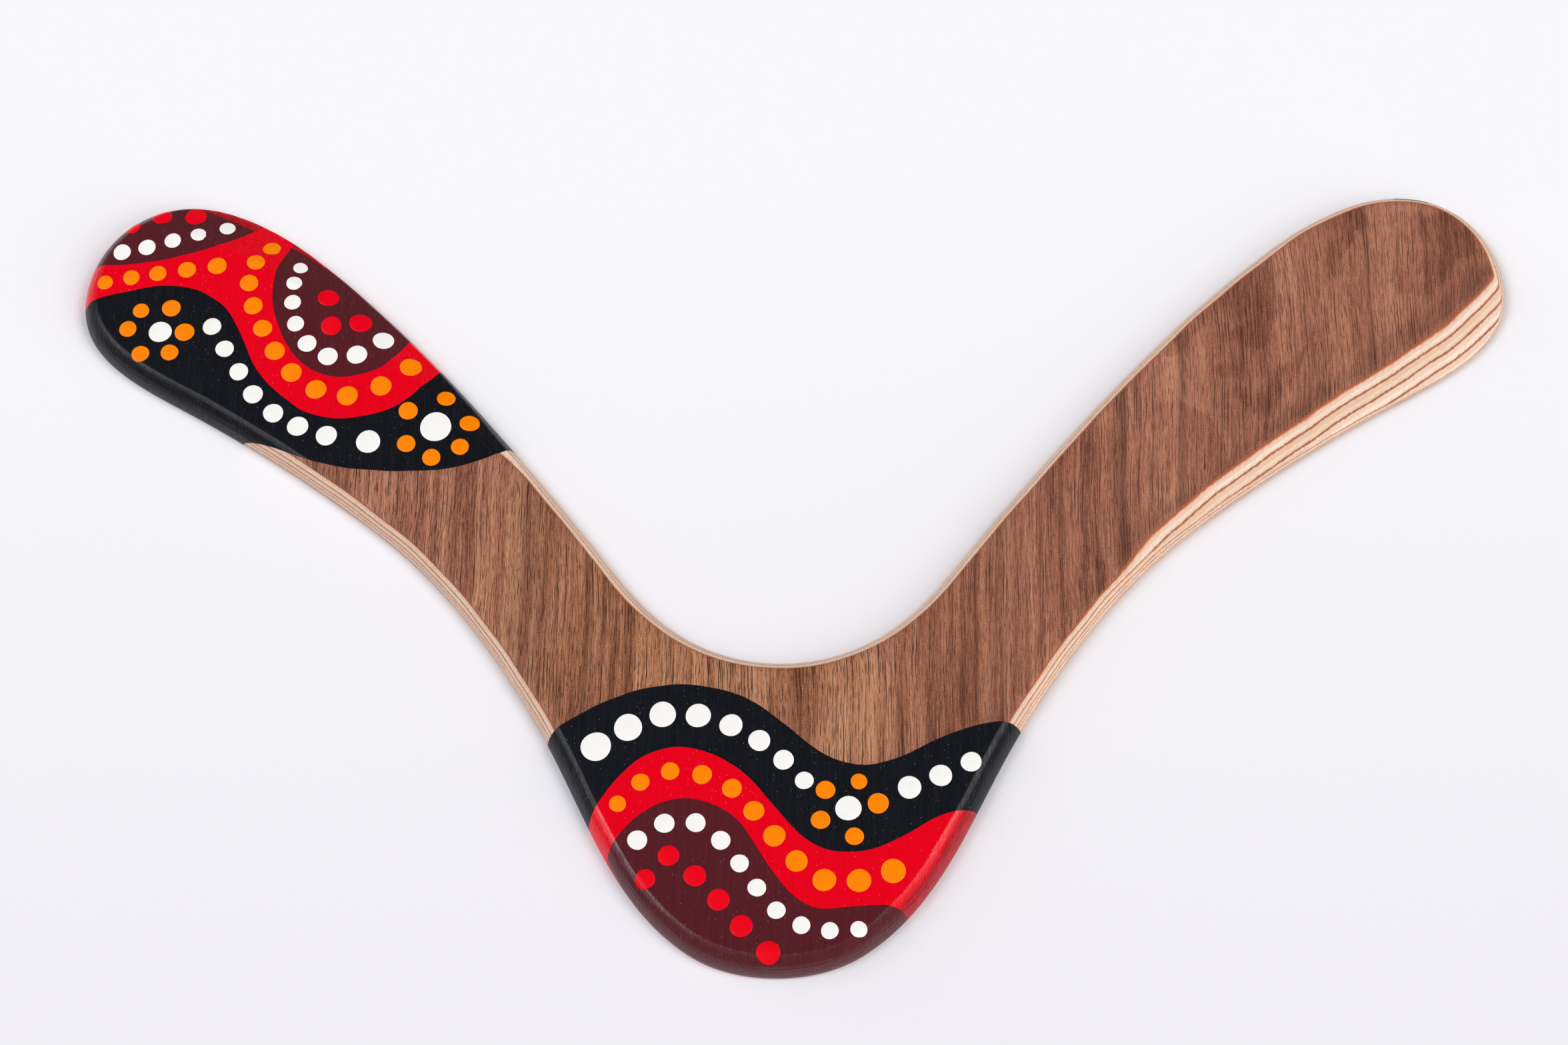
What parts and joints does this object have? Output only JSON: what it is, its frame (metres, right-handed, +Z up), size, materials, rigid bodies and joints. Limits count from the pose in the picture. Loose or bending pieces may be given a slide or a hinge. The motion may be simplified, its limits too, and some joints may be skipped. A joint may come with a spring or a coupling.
{
  "type": "boomerang",
  "caption": "Two-armed returning boomerang of walnut-faced plywood with rolled and bevelled edges and painted dot decoration.",
  "frame": {"origin": "middle of the outline's box, on the flat underside", "axes": "+Z up through the painted face, +Y from the elbow to the tips, +X towards the unpainted arm"},
  "size_m": [0.404, 0.2308, 0.0069],
  "materials": {
    "walnut": "satin lacquer over open-pored walnut veneer, grain along +Y",
    "birch": "sanded plywood edge under satin lacquer",
    "glue": "dark resin glue line",
    "black_paint": "semi-gloss acrylic paint under lacquer",
    "red_paint": "semi-gloss acrylic paint under lacquer",
    "maroon_paint": "semi-gloss acrylic paint under lacquer",
    "white_paint": "raised dots of semi-gloss acrylic paint",
    "orange_paint": "raised dots of semi-gloss acrylic paint"
  },
  "bodies": {
    "root": {"walnut_back_veneer": "walnut", "glue_line_6": "glue", "birch_ply_5": "birch", "glue_line_5": "glue", "birch_ply_4": "birch", "glue_line_4": "glue", "birch_ply_3": "birch", "glue_line_3": "glue", "birch_ply_2": "birch", "glue_line_2": "glue", "birch_ply_1": "birch", "glue_line_1": "glue", "walnut_face_veneer": "walnut", "maroon_tip_cap": "maroon_paint", "red_tip_band": "red_paint", "maroon_tip_half_disc": "maroon_paint", "black_tip_field": "black_paint", "black_elbow_band": "black_paint", "red_elbow_band": "red_paint", "maroon_elbow_field": "maroon_paint"}
  },
  "joints": []
}
